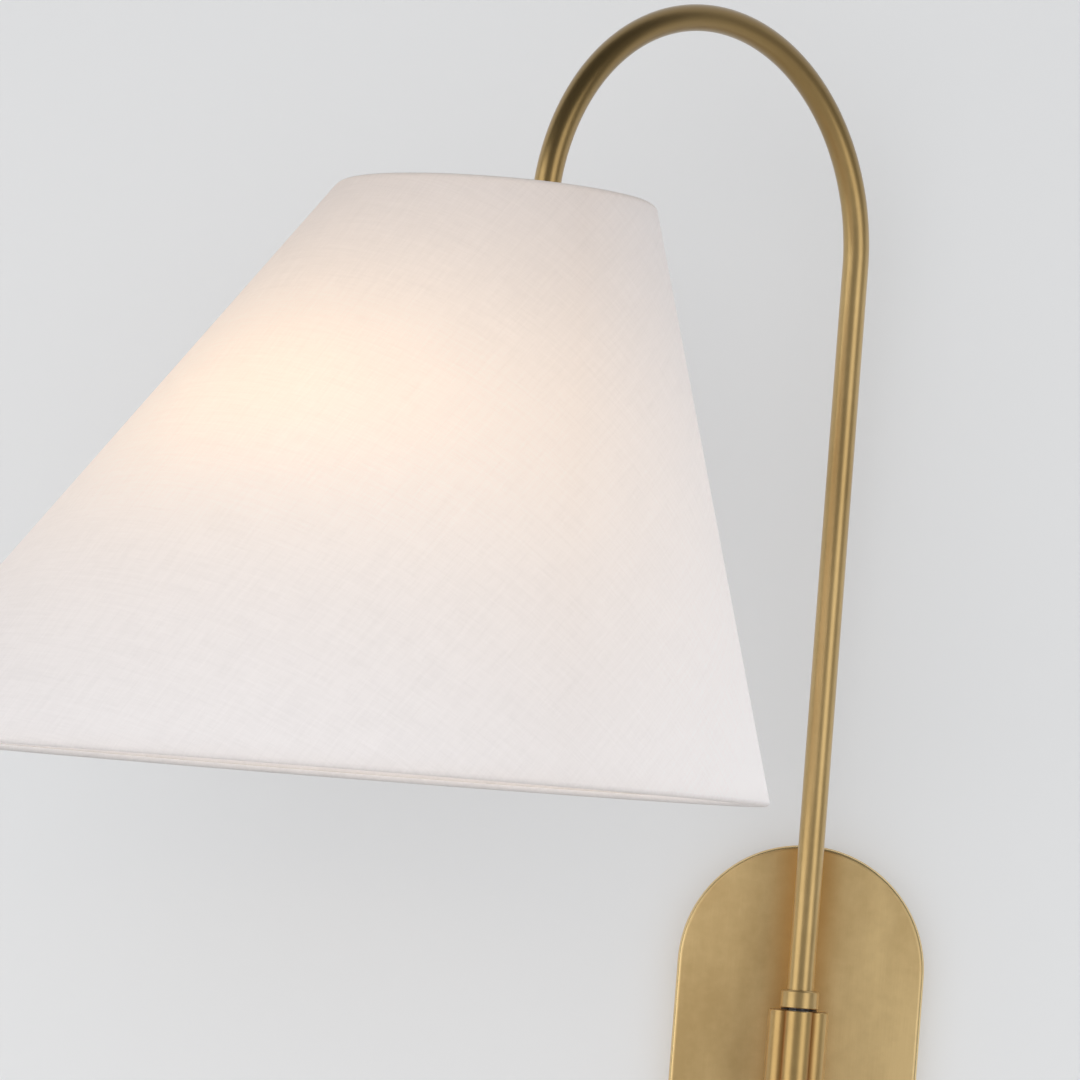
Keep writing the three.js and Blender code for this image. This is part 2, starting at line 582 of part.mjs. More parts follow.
// A hub on the tube with three rods that rise to the top ring.
function shadeSpider() {
  const ringZ = SHADE_TOP_Z - WIRE_RISE;
  const reach = radiusAt(ringZ) - WIRE_INSET;
  const start = new THREE.Vector3(tubeEnd, 0, SPIDER_Z + SPIDER_HUB_HEIGHT / 2);
  let spider = ring(TUBE_RADIUS + GAP, SPIDER_HUB_RADIUS, SPIDER_Z, SPIDER_Z + SPIDER_HUB_HEIGHT)
    .translate(tubeEnd, 0, 0);
  for (const angle of SPIDER_ANGLES) {
    const target = new THREE.Vector3(
      centreAt(ringZ) + reach * Math.cos(angle), reach * Math.sin(angle), ringZ);
    const along = target.sub(start);
    const far = along.length() - WIRE_RADIUS - 0.5;
    along.normalize();
    const inner = start.clone().addScaledVector(along, SPIDER_ROD_START);
    const outer = start.clone().addScaledVector(along, far);
    spider = joined(spider, rod(WIRE_RADIUS, inner.toArray(), outer.toArray(), 10));
  }
  return spider;
}

// A strip inside the shade on the arm's side, where the two ends of the cloth overlap.
function shadeSeam() {
  const bottom = SHADE_BOTTOM_Z + SEAM_MARGIN;
  const top = SHADE_TOP_Z - SEAM_MARGIN;
  const inset = SHADE_WALL + GAP;
  const side = block([-SHADE_BOTTOM_RADIUS, -SEAM_WIDTH / 2, bottom - OVERCUT],
    [tubeEnd, SEAM_WIDTH / 2, top + OVERCUT]);
  return common(coneBand(bottom, top, inset, inset + SEAM_THICK, SHADE_SEGMENTS), side);
}

function buildShade() {
  addPiece(arm, 'shade_fabric',
    coneBand(SHADE_BOTTOM_Z, SHADE_TOP_Z, 0, SHADE_WALL, SHADE_SEGMENTS), 'linen');
  addPiece(arm, 'shade_seam', shadeSeam(), 'seam');
  addPiece(arm, 'shade_top_ring', wireRing(SHADE_TOP_Z - WIRE_RISE), 'steel');
  addPiece(arm, 'shade_bottom_ring', wireRing(SHADE_BOTTOM_Z + WIRE_RISE), 'steel');
  addPiece(arm, 'shade_spider', shadeSpider(), 'steel');
  for (const [name, fitter] of [['fitter_seat', FITTER_SEAT], ['fitter_nut', FITTER_NUT]]) {
    const piece = addPiece(arm, name,
      ring(TUBE_RADIUS + GAP, fitter.radius, fitter.bottom, fitter.top), 'brass');
    piece.position.x = tubeEnd;
  }
}

// ---- lamp holder and bulb, along the tube's bent nose ------------------------------------
// Neck and globe of the bulb below its base, from the neck to the tip.
function bulbProfile(inset) {
  const radius = BULB_RADIUS - inset;
  const points = BULB_NECK.map(([across, z]) => [across - inset, z]);
  for (let i = 0; i <= BULB_STEPS; i += 1) {
    const angle = THREE.MathUtils.lerp(BULB_SHOULDER, -Math.PI / 2, i / BULB_STEPS);
    points.push([Math.max(radius * Math.cos(angle), 0), BULB_CENTRE + radius * Math.sin(angle)]);
  }
  return points;
}

function bulbGlass() {
  return turned([...bulbProfile(0).reverse(), ...bulbProfile(BULB_WALL)]);
}

function buildLampHolder() {
  const holder = new THREE.Group();
  holder.position.set(...noseEnd);
  holder.rotation.y = -NOSE_ANGLE;
  arm.add(holder);
  addPiece(holder, 'socket_neck', turned(NECK_PROFILE), 'brass');
  addPiece(holder, 'socket_cap', turned(CAP_PROFILE), 'brass');
  for (const [name, part, finish] of [['socket_shell', SHELL, 'brass'],
    ['socket_insulator', INSULATOR, 'porcelain'], ['socket_thread', THREAD, 'brass']]) {
    addPiece(holder, name, ring(part.inner, part.outer, part.bottom, part.top), finish);
  }
  addPiece(holder, 'centre_contact', disc(CONTACT.radius, CONTACT.bottom, CONTACT.top, 16), 'brass');
  addPiece(holder, 'bulb_base', turned(BULB_BASE_PROFILE, 28), 'steel');
  addPiece(holder, 'bulb_glass', bulbGlass(), 'frosted');
  addPiece(holder, 'bulb_stem', turned(BULB_STEM_PROFILE, 16), 'frosted');
}

// ---- turn knob under the column ----------------------------------------------------------
function buildKnob() {
  const top = -COLLAR_FOOT;
  const bottom = top - KNOB_HEIGHT;
  const shaftEnd = bottom + KNOB_FLOOR;
  const screwZ = (top + bottom) / 2;
  const body = turned([[0, bottom], [KNOB_RADIUS - COLLAR_CHAMFER, bottom],
    [KNOB_RADIUS, bottom + COLLAR_CHAMFER], [KNOB_RADIUS, top - COLLAR_EASE],
    [KNOB_RADIUS - COLLAR_EASE, top], [SWITCH_SHAFT_RADIUS + GAP, top],
    [SWITCH_SHAFT_RADIUS + GAP, shaftEnd], [0, shaftEnd]], 32);
  const screwHole = rod(SET_SCREW_RADIUS + GAP, [0, 0, screwZ], [0, STANDOFF, screwZ]);
  addPiece(knob, 'switch_knob', cutAway(body, screwHole), 'brass');
  addPiece(knob, 'switch_shaft', disc(SWITCH_SHAFT_RADIUS, shaftEnd + GAP, SWITCH_SHAFT_TOP, 20), 'steel');
  addPiece(knob, 'knob_set_screw',
    rod(SET_SCREW_RADIUS, [0, SET_SCREW_INNER, screwZ], [0, SET_SCREW_OUTER, screwZ]), 'steel');
}

buildPlate();
buildColumn();
buildWiring();
buildSwivel();
buildTube();
buildShade();
buildLampHolder();
buildKnob();

export default sconce;
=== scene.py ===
"""Swing arm wall sconce: camera, light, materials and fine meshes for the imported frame.
Metres, in the CAD's own frame: +X right, +Z up, and the wall at y = 0 with the room at y < 0."""

import json
import math

import bmesh
import bpy
from mathutils import Matrix, Vector


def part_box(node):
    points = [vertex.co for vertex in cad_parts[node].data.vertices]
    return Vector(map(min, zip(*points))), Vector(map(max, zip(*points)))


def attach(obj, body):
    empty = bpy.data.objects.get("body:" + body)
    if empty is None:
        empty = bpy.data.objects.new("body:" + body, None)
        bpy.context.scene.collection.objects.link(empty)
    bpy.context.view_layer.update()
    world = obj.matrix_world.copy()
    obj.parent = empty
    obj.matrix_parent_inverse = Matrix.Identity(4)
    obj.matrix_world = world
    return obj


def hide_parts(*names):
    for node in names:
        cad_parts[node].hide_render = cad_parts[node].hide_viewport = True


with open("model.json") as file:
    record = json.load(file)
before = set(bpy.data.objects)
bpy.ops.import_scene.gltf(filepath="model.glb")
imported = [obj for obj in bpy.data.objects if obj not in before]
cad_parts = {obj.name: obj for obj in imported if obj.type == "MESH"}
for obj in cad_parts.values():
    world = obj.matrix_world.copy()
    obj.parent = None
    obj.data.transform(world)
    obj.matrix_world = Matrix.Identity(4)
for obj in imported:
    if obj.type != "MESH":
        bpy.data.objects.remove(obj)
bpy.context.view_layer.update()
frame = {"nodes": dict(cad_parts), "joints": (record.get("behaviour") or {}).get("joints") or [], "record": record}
scene = bpy.context.scene
MM = 0.001

# ---- places, from the frame ------------------------------------------------------------
SWING = next(joint for joint in frame["joints"] if joint["name"] == "arm_swing")
POST = Vector(SWING["pos_m"])
PLATE_LOW, PLATE_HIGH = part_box("plate_cover")
COLUMN_LOW, COLUMN_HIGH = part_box("reeded_column")
COLLAR_LOW, COLLAR_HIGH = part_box("swivel_collar")
KNOB_LOW, KNOB_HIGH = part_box("switch_knob")
SHADE_BOTTOM_Z, SHADE_TOP_Z = (corner.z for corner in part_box("shade_fabric"))

# ---- driving dimensions ----------------------------------------------------------------
REST_SWING = math.radians(-45)         # from straight out, towards -X
TUBE_RADIUS = 6 * MM
TUBE_BORE = 5 * MM
ARCH_RADIUS = 99.5 * MM
ARCH_Z = 387.2 * MM
NOSE_Z = 372 * MM
NOSE_RADIUS = 40 * MM
NOSE_ANGLE = math.radians(30)
NOSE_STRAIGHT = 14 * MM
TUBE_U = 2 * ARCH_RADIUS               # outward distance of the tube's far leg
SHADE_TOP_U = TUBE_U + 28 * MM
SHADE_BOTTOM_U = TUBE_U + 108.3 * MM
SHADE_TOP_RADIUS = 69.1 * MM
SHADE_BOTTOM_RADIUS = 194.3 * MM
CLOTH = 0.7 * MM                       # thickness of the linen
REEDS = 6
COLUMN_RADIUS = 14.5 * MM              # over the crests of the reeds
COLUMN_GROOVE = 12.6 * MM              # at the bottom of the grooves
COLUMN_BORE = 8 * MM
COLUMN_CHAMFER = 0.35 * MM
SADDLE_RADIUS = 14.8 * MM              # of the spacer's hollow end, just clear of the column
SPACER_RADIUS = 9 * MM
NIPPLE_HOLE = 5.1 * MM                 # radii of the holes
PIN_HOLE = 1.8 * MM
SET_SCREW_HOLE = 1.5 * MM
COVER_SCREW_HOLE = 2.3 * MM
PLATE_EDGE = 2.5 * MM                  # radius of the plate's rounded edge
PLATE_WALL = 1.6 * MM
PLATE_LIP = 0.4 * MM                   # chamfer where the rim meets the wall
LEAD_RADIUS = 2.2 * MM
LEAD_PAST_END = 9 * MM                 # from the tube's end into the lamp holder
GLOBE_RADIUS = 30 * MM
GLOBE_DROP = 108 * MM                  # from the tube's end to the middle of the bulb's globe
GLASS = 1.2 * MM

# The arm's own frame: x outward along the arm, z up, from the swing axis.
ARM = Matrix.Translation((POST.x, POST.y, 0)) @ Matrix.Rotation(-math.pi / 2 + REST_SWING, 4, "Z")
COLUMN = Matrix.Translation((POST.x, POST.y, 0))
NOSE_U = TUBE_U + NOSE_RADIUS * (1 - math.cos(NOSE_ANGLE)) + NOSE_STRAIGHT * math.sin(NOSE_ANGLE)
NOSE_END_Z = NOSE_Z - NOSE_RADIUS * math.sin(NOSE_ANGLE) - NOSE_STRAIGHT * math.cos(NOSE_ANGLE)
HOLDER = ARM @ Matrix.Translation((NOSE_U, 0, NOSE_END_Z)) @ Matrix.Rotation(-NOSE_ANGLE, 4, "Y")


# ---- camera, light and stage -----------------------------------------------------------
CAMERA_PLACE = Vector((-0.0571, -2.6796, 0.1081))
CAMERA_YAW, CAMERA_PITCH, CAMERA_ROLL = (math.radians(a) for a in (1.70, 3.09, 4.51))
CAMERA_LENS = 190.86
ROOM_LIGHT = (-1.0, -0.5, 1.45, 0.48)      # from straight out to the side: (y, y, strength, strength)
ROOM_REFLECTION = (-0.4, 0.5, 0.46, 0.10)  # from low to high: (z, z, strength, strength)
LIT_MIDDLE = Vector((-0.1, -0.08, 0.2))    # where the softboxes point


def make_camera():
    data = bpy.data.cameras.new("camera")
    data.lens = CAMERA_LENS
    data.sensor_width = 36
    data.clip_end = 50
    camera = bpy.data.objects.new("camera", data)
    scene.collection.objects.link(camera)
    level = math.cos(CAMERA_PITCH)
    ahead = Vector((-math.sin(CAMERA_YAW) * level, math.cos(CAMERA_YAW) * level, math.sin(CAMERA_PITCH)))
    right = Vector((math.cos(CAMERA_YAW), math.sin(CAMERA_YAW), 0))
    up = right.cross(ahead)
    turned_right = right * math.cos(CAMERA_ROLL) + up * math.sin(CAMERA_ROLL)
    turned_up = up * math.cos(CAMERA_ROLL) - right * math.sin(CAMERA_ROLL)
    axes = Matrix((turned_right, turned_up, -ahead)).transposed()
    camera.matrix_world = Matrix.Translation(CAMERA_PLACE) @ axes.to_4x4()
    scene.camera = camera


def softbox(name, azimuth, away, height, size, radiance, colour, in_reflections):
    """A tall softbox facing the sconce, at an angle right of straight out from the wall and a distance away.
    It either shines on surfaces or is seen in the brass, so that the wall stays even."""
    data = bpy.data.lights.new(name, "AREA")
    data.shape = "RECTANGLE"
    data.size, data.size_y = size
    data.energy = radiance * size[0] * size[1] * math.pi
    data.color = colour
    light = bpy.data.objects.new(name, data)
    scene.collection.objects.link(light)
    angle = math.radians(azimuth)
    place = LIT_MIDDLE + Vector((away * math.sin(angle), -away * math.cos(angle), height))
    facing = (LIT_MIDDLE - place).to_track_quat("-Z", "Y")
    light.matrix_world = Matrix.Translation(place) @ facing.to_matrix().to_4x4()
    light.visible_camera = False
    light.visible_diffuse = not in_reflections
    light.visible_transmission = not in_reflections
    light.visible_glossy = in_reflections


def make_lights():
    world = bpy.data.worlds.new("world")
    scene.world = world
    world.use_nodes = True
    tree = world.node_tree
    background = tree.nodes["Background"]
    background.inputs["Color"].default_value = (0.985, 0.99, 1.0, 1)
    # The room lights surfaces mostly from the front. In reflections it is darker and dims upward.
    direction = tree.nodes.new("ShaderNodeTexCoord")
    split = tree.nodes.new("ShaderNodeSeparateXYZ")
    pick = tree.nodes.new("ShaderNodeMix")
    rays = tree.nodes.new("ShaderNodeLightPath")
    tree.links.new(direction.outputs["Generated"], split.inputs[0])
    for axis, socket, levels in (("Y", "A", ROOM_LIGHT), ("Z", "B", ROOM_REFLECTION)):
        ramp = tree.nodes.new("ShaderNodeMapRange")
        tree.links.new(split.outputs[axis], ramp.inputs["Value"])
        for key, value in zip(("From Min", "From Max", "To Min", "To Max"), levels):
            ramp.inputs[key].default_value = value
        tree.links.new(ramp.outputs[0], pick.inputs[socket])
    tree.links.new(rays.outputs["Is Glossy Ray"], pick.inputs["Factor"])
    tree.links.new(pick.outputs[0], background.inputs["Strength"])
    softbox("key", -25, 2.4, 0.5, (1.8, 2.2), 0.8, (1.0, 0.995, 0.985), False)
    softbox("panel_left", -55, 2.4, 0.2, (2.0, 2.4), 1.12, (1.0, 0.985, 0.95), True)
    softbox("panel_right", 41, 2.3, 0.2, (1.3, 2.4), 1.02, (1.0, 0.975, 0.94), True)


def make_stage(wall_material, floor_material):
    for name, corners, material in (
        ("wall", [(-4, 0, -1.4), (4, 0, -1.4), (4, 0, 3), (-4, 0, 3)], wall_material),
        ("floor", [(-4, -5, -1.4), (4, -5, -1.4), (4, 0, -1.4), (-4, 0, -1.4)], floor_material),
    ):
        mesh = bpy.data.meshes.new(name)
        mesh.from_pydata(corners, [], [(0, 1, 2, 3)])
        mesh.materials.append(material)
        piece = bpy.data.objects.new(name, mesh)
        scene.collection.objects.link(piece)


# ---- node helpers ----------------------------------------------------------------------
class Nodes:
    """A material's node tree, with short calls to add a node and link into it."""

    def __init__(self, name):
        self.material = bpy.data.materials.new(name)
        self.material.use_nodes = True
        self.tree = self.material.node_tree
        self.tree.nodes.clear()
        self.output = self.tree.nodes.new("ShaderNodeOutputMaterial")

    def add(self, kind, settings=None, **inputs):
        node = self.tree.nodes.new("ShaderNode" + kind)
        for key, value in (settings or {}).items():
            setattr(node, key, value)
        for key, value in inputs.items():
            self.put(node, key.replace("_", " "), value)
        return node

    def put(self, node, socket, value):
        if isinstance(value, bpy.types.NodeSocket):
            self.tree.links.new(value, node.inputs[socket])
        else:
            node.inputs[socket].default_value = value

    def math(self, operation, a, b=0.0):
        node = self.add("Math", {"operation": operation})
        self.put(node, 0, a)
        self.put(node, 1, b)
        return node.outputs[0]

    def vector(self, operation, a, b=None, out=0):
        node = self.add("VectorMath", {"operation": operation})
        self.put(node, 0, a)
        if b is not None:
            self.put(node, 1, b)
        return node.outputs[out]

    def between(self, value, from_low, from_high, to_low, to_high, kind="LINEAR"):
        node = self.add("MapRange", {"interpolation_type": kind})
        for key, put in zip(("Value", "From Min", "From Max", "To Min", "To Max"),
                            (value, from_low, from_high, to_low, to_high)):
            self.put(node, key, put)
        return node.outputs[0]

    def blend(self, share, a, b):
        node = self.add("Mix", {"data_type": "RGBA"})
        self.put(node, 0, share)
        self.put(node, 6, a)
        self.put(node, 7, b)
        return node.outputs[2]

    def noise(self, place, scale, detail=3.0, roughness=0.5):
        node = self.add("TexNoise", Vector=place, Scale=scale, Detail=detail, Roughness=roughness)
        return node.outputs["Fac"]

    def split(self, vector):
        return list(self.add("SeparateXYZ", Vector=vector).outputs)

    def scaled(self, place, scale):
        return self.add("Mapping", Vector=place, Scale=scale).outputs[0]

    def place(self, by_surface):
        """The surface's own (across, along) metres where the mesh has them, or the object's."""
        node = self.add("TexCoord")
        return node.outputs["UV" if by_surface else "Object"]

    def bump(self, height, strength, distance):
        return self.add("Bump", Height=height, Strength=strength, Distance=distance).outputs[0]

    def finish(self, shader):
        self.tree.links.new(shader.outputs[0], self.output.inputs["Surface"])
        return self.material


def rgb(red, green, blue):
    """A colour given as 0 to 255 sRGB, as linear light."""
    return (*(linear(value / 255) for value in (red, green, blue)), 1.0)


def linear(value):
    return value / 12.92 if value <= 0.04 else ((value + 0.055) / 1.055) ** 2.4


# ---- materials -------------------------------------------------------------------------
def brass(name, by_surface=True, grain=(2600, 70, 1), light=(210, 180, 122), dark=(188, 157, 100),
          roughness=(0.30, 0.42), depth=0.000012, painted_shade=None, painted_highlight=None):
    """Burnished brass: soft upright patina clouds and fine brushing along the surface.
    The first optional argument holds a function that gives the share of a darker colour painted in as shade at
    each place, and that colour. The second holds a function that gives the share of each place made smoother and
    painted lighter as a highlight."""
    n = Nodes(name)
    surface = n.place(by_surface)
    body = n.add("TexCoord").outputs["Object"]
    clouds = n.noise(n.scaled(body, (26, 26, 9)), 1.0, 3.0, 0.5)
    mottle = n.noise(body, 160.0, 3.0, 0.6)
    brush = n.noise(n.scaled(surface, grain), 1.0, 4.0, 0.65)
    fine = n.noise(n.scaled(surface, tuple(3.1 * s for s in grain)), 1.0, 2.0, 0.5)
    tone = n.math("ADD", n.math("MULTIPLY", clouds, 0.8), n.math("MULTIPLY", mottle, 0.2))
    colour = n.blend(n.between(tone, 0.36, 0.64, 0.0, 1.0), rgb(*dark), rgb(*light))
    colour = n.blend(n.between(brush, 0.3, 0.7, 0.0, 0.15), colour, rgb(*dark))
    # Painted shade: a darker colour where the brass would look dimmer in the light.
    if painted_shade:
        share, shade_tone = painted_shade
        colour = n.blend(share(n, body), colour, rgb(*shade_tone))
    rough = n.between(n.math("ADD", n.math("MULTIPLY", brush, 0.6), n.math("MULTIPLY", clouds, 0.4)),
                      0.35, 0.65, *roughness)
    # Painted highlight: a lighter colour, with the brass made smoother there too.
    if painted_highlight:
        bright = painted_highlight(n, body)
        colour = n.blend(n.math("MULTIPLY", bright, 0.7), colour, rgb(*light))
        rough = n.math("MULTIPLY", rough, n.between(bright, 0.0, 1.0, 1.0, 0.5))
    height = n.math("ADD", n.math("MULTIPLY", brush, 0.7), n.math("MULTIPLY", fine, 0.3))
    shader = n.add("BsdfPrincipled", Metallic=1.0, Base_Color=colour, Roughness=rough, Anisotropic=0.35,
                   Coat_Weight=0.6, Coat_Roughness=0.3, Normal=n.bump(height, 0.35, depth))
    if by_surface:
        n.put(shader, "Tangent", n.add("Tangent", {"direction_type": "UV_MAP"}).outputs[0])
    return n.finish(shader)


def behind_column(n, body):
    """The plate's front behind the tube and the column, painted darker and oranger: a painted reflection of brass
    mirrored in brass.
    """
    across, depth, height = n.split(body)
    near = n.between(n.math("ABSOLUTE", across), 6 * MM, 20 * MM, 0.65, 0.0, "SMOOTHSTEP")
    front = n.between(depth, PLATE_LOW.y + 0.2 * MM, PLATE_LOW.y + 0.8 * MM, 1.0, 0.0)
    above = n.between(height, KNOB_LOW.z - 30 * MM, KNOB_LOW.z + 5 * MM, 0.0, 1.0, "SMOOTHSTEP")
    return n.math("MULTIPLY", n.math("MULTIPLY", near, front), above)


def plate_edge(n, body):
    """The plate's rounded edge, made smoother and painted lighter there as a painted highlight."""
    depth = n.split(body)[1]
    rise = n.between(depth, PLATE_LOW.y + 0.1 * MM, PLATE_LOW.y + 0.6 * MM, 0.0, 1.0, "SMOOTHSTEP")
    fall = n.between(depth, PLATE_LOW.y + 0.9 * MM, PLATE_LOW.y + 1.5 * MM, 1.0, 0.0, "SMOOTHSTEP")
    return n.math("MULTIPLY", rise, fall)


def over_arch(n, body):
    """The gooseneck's top, painted darker: painted shade where the arch mirrors the dim room above."""
    height = n.split(body)[2]
    return n.between(height, ARCH_Z - 20 * MM, ARCH_Z + 80 * MM, 0.0, 0.9, "SMOOTHSTEP")


def reed_grooves(n, body):
    """The column's grooves, painted darker and oranger: painted shade where the reeds shade and mirror each other.
    """
    level = n.vector("MULTIPLY", n.vector("SUBTRACT", body, (POST.x, POST.y, 0)), (1, 1, 0))
    radius = n.vector("LENGTH", level, out=1)
    return n.between(radius, COLUMN_GROOVE, COLUMN_GROOVE + 1.2 * MM, 0.85, 0.0, "SMOOTHSTEP")


def plated(name, light, dark, roughness=0.3):
    """Zinc or nickel plate: cloudy colour and turning marks."""
    n = Nodes(name)
    place = n.place(False)
    clouds = n.noise(place, 90.0, 4.0, 0.6)
    marks = n.noise(n.scaled(place, (60, 60, 2400)), 1.0, 2.0)
    colour = n.blend(n.between(clouds, 0.35, 0.65, 0.0, 1.0), rgb(*dark), rgb(*light))
    rough = n.between(clouds, 0.3, 0.7, roughness - 0.07, roughness + 0.12)
    return n.finish(n.add("BsdfPrincipled", Metallic=1.0, Base_Color=colour, Roughness=rough,
                          Normal=n.bump(marks, 0.25, 0.00002)))


def moulded(name, light, dark, roughness=0.45, scale=700.0, depth=0.00003, metallic=0.0):
    """Moulded plastic, paint or glazed porcelain: slight mottling and a fine skin."""
    n = Nodes(name)
    place = n.place(False)
    cloud = n.noise(place, 60.0, 3.0)
    skin = n.noise(place, scale, 3.0, 0.6)
    colour = n.blend(n.between(cloud, 0.35, 0.65, 0.0, 1.0), rgb(*dark), rgb(*light))
    rough = n.between(skin, 0.3, 0.7, roughness - 0.06, roughness + 0.08)
    return n.finish(n.add("BsdfPrincipled", Metallic=metallic, Base_Color=colour, Roughness=rough,
                          Normal=n.bump(skin, 0.2, depth)))


GLOW_NEAR = 0.0044                     # strength of the warm glow, times square metres
GLOW_NEAR_COLOUR = (1.0, 0.585, 0.16, 1)
GLOW_EVEN = (0.28, 0.055)              # the all-over glow at the bottom and the top
GLOW_EVEN_COLOUR = (0.92, 0.965, 1.0, 1)
GLOW_PALE_SIDE = 0.20                  # added to the all-over glow on the side that faces +X
GLOW_SPREAD = 0.06                     # how far the glow is softened, in metres
GLOW_CENTRE = ARM @ Vector((0.310, 0.012, 0.242))
GLOW_WARM_PALE_SIDE = 0.15             # share of the warm glow that is left on the side that faces +X
LINEN_SHARE = 0.5                      # how much of the light falling on the linen goes through
RIM_DARK = 2.2 * MM                    # height of the line along each rim where the wire blocks the glow
RIM_GLOW = 0.2                         # share of the glow left there


def glow(n, tone):
    """The lit shade's glow, as a colour and a strength: all over, and warmer and brighter about the bulb."""
    body = n.place(False)
    normal = n.add("TexCoord").outputs["Normal"]
    height = n.split(body)[2]
    away = n.vector("SUBTRACT", body, tuple(GLOW_CENTRE))
    square = n.vector("DOT_PRODUCT", away, away, out=1)
    near = n.math("DIVIDE", GLOW_NEAR, n.math("ADD", square, GLOW_SPREAD ** 2))
    facing = n.math("ABSOLUTE", n.vector("DOT_PRODUCT", n.vector("NORMALIZE", away), normal, out=1))
    pale_side = n.split(normal)[0]
    warm = n.math("MULTIPLY", n.math("MULTIPLY", near, facing),
                  n.between(pale_side, 0.5, 1.0, 1.0, GLOW_WARM_PALE_SIDE))
    even = n.math("ADD", n.between(height, SHADE_BOTTOM_Z, SHADE_TOP_Z, *GLOW_EVEN),
                  n.between(pale_side, 0.5, 1.0, 0.0, GLOW_PALE_SIDE))
    total = n.math("ADD", warm, even)
    colour = n.blend(n.math("DIVIDE", warm, total), GLOW_EVEN_COLOUR, GLOW_NEAR_COLOUR)
    rims = n.math("MULTIPLY", n.between(height, SHADE_BOTTOM_Z, SHADE_BOTTOM_Z + RIM_DARK, RIM_GLOW, 1.0),
                  n.between(height, SHADE_TOP_Z - RIM_DARK, SHADE_TOP_Z, 1.0, RIM_GLOW))
    woven = n.math("MULTIPLY", total, n.between(tone, 0.38, 0.62, 0.97, 1.03))
    return colour, n.math("MULTIPLY", woven, rims)


def weave(n, cloth):
    """Plain weave on the cloth's own metres: uneven fine threads both ways and a few slubs, from 0 to 1."""
    fine = n.math("ADD", n.noise(n.scaled(cloth, (1900, 120, 1)), 1.0, 2.0, 0.5),
                  n.noise(n.scaled(cloth, (120, 1900, 1)), 1.0, 2.0, 0.5))
    slubs = n.math("ADD", n.noise(n.scaled(cloth, (620, 26, 1)), 1.0, 2.0, 0.5),
                   n.noise(n.scaled(cloth, (26, 620, 1)), 1.0, 2.0, 0.5))
    return n.math("MULTIPLY", n.math("ADD", fine, slubs), 0.25)


def linen(name, light=(236, 233, 233), dark=(229, 226, 226), through=LINEN_SHARE, lit=True):
    """White linen that lets light through, and glows where it is lit."""
    n = Nodes(name)
    tone = weave(n, n.place(True))
    colour = n.blend(n.between(tone, 0.38, 0.62, 0.0, 1.0), rgb(*dark), rgb(*light))
    normal = n.bump(tone, 0.4, 0.00015)
    front = n.add("BsdfPrincipled", Base_Color=colour, Roughness=0.9, Normal=normal)
    front.inputs["Sheen Weight"].default_value = 0.1
    front.inputs["Specular IOR Level"].default_value = 0.2
    if lit:
        glow_colour, glow_strength = glow(n, tone)
        n.put(front, "Emission Color", glow_colour)
        n.put(front, "Emission Strength", glow_strength)
    back = n.add("BsdfTranslucent", Color=colour, Normal=normal)
    mix = n.add("MixShader")
    n.put(mix, 0, through)
    n.tree.links.new(front.outputs[0], mix.inputs[1])
    n.tree.links.new(back.outputs[0], mix.inputs[2])
    return n.finish(mix)


BULB_STRENGTH = 2.5
BULB_COLOUR = (1.0, 0.80, 0.56, 1)


def lit_glass(name):
    """Frosted bulb glass, brighter towards its middle."""
    n = Nodes(name)
    place = n.place(False)
    frost = n.noise(place, 900.0, 3.0)
    rough = n.between(frost, 0.3, 0.7, 0.35, 0.5)
    facing = n.add("LayerWeight", Blend=0.4).outputs["Facing"]
    shader = n.add("BsdfPrincipled", Base_Color=(0.95, 0.92, 0.86, 1), Roughness=rough,
                   Normal=n.bump(frost, 0.15, 0.00003))
    n.put(shader, "Emission Color", BULB_COLOUR)
    n.put(shader, "Emission Strength", n.between(facing, 0.0, 1.0, BULB_STRENGTH, 0.55 * BULB_STRENGTH))
    return n.finish(shader)


def painted(name, colour, lift):
    """Plain matt wall or floor paint, seen from its front only. It is lifted by a little light of its own,
    more low down than high up, so that it stays even."""
    n = Nodes(name)
    place = n.place(False)
    roller = n.noise(place, 260.0, 4.0, 0.6)
    tone = n.noise(place, 1.3, 2.0)
    shade = n.blend(n.between(tone, 0.3, 0.7, 0.0, 0.04), rgb(*colour), (0.5, 0.5, 0.52, 1))
    paint = n.add("BsdfPrincipled", Base_Color=shade, Roughness=0.85, Normal=n.bump(roller, 0.05, 0.0002))
    paint.inputs["Emission Color"].default_value = rgb(*colour)
    paint.inputs["Specular IOR Level"].default_value = 0.2
    n.put(paint, "Emission Strength", n.between(n.split(place)[2], -0.1, 0.5, lift + 0.08, lift - 0.06))
    mix = n.add("MixShader")
    n.tree.links.new(n.add("NewGeometry").outputs["Backfacing"], mix.inputs[0])
    n.tree.links.new(paint.outputs[0], mix.inputs[1])
    n.tree.links.new(n.add("BsdfTransparent").outputs[0], mix.inputs[2])
    return n.finish(mix)


# ---- mesh helpers ----------------------------------------------------------------------
def build(name, points, faces, surface, sharp=32):
    """A mesh object. surface gives each face corner's own (across, along) place in metres."""
    mesh = bpy.data.meshes.new(name)
    mesh.from_pydata(points, [], faces)
    mesh.update()
    places = [value for face in surface for corner in face for value in corner]
    mesh.uv_layers.new(name="Surface").data.foreach_set("uv", places)
    mesh.polygons.foreach_set("use_smooth", [True] * len(mesh.polygons))
    mesh.set_sharp_from_angle(angle=math.radians(sharp))
    piece = bpy.data.objects.new(name, mesh)
    scene.collection.objects.link(piece)
    return piece


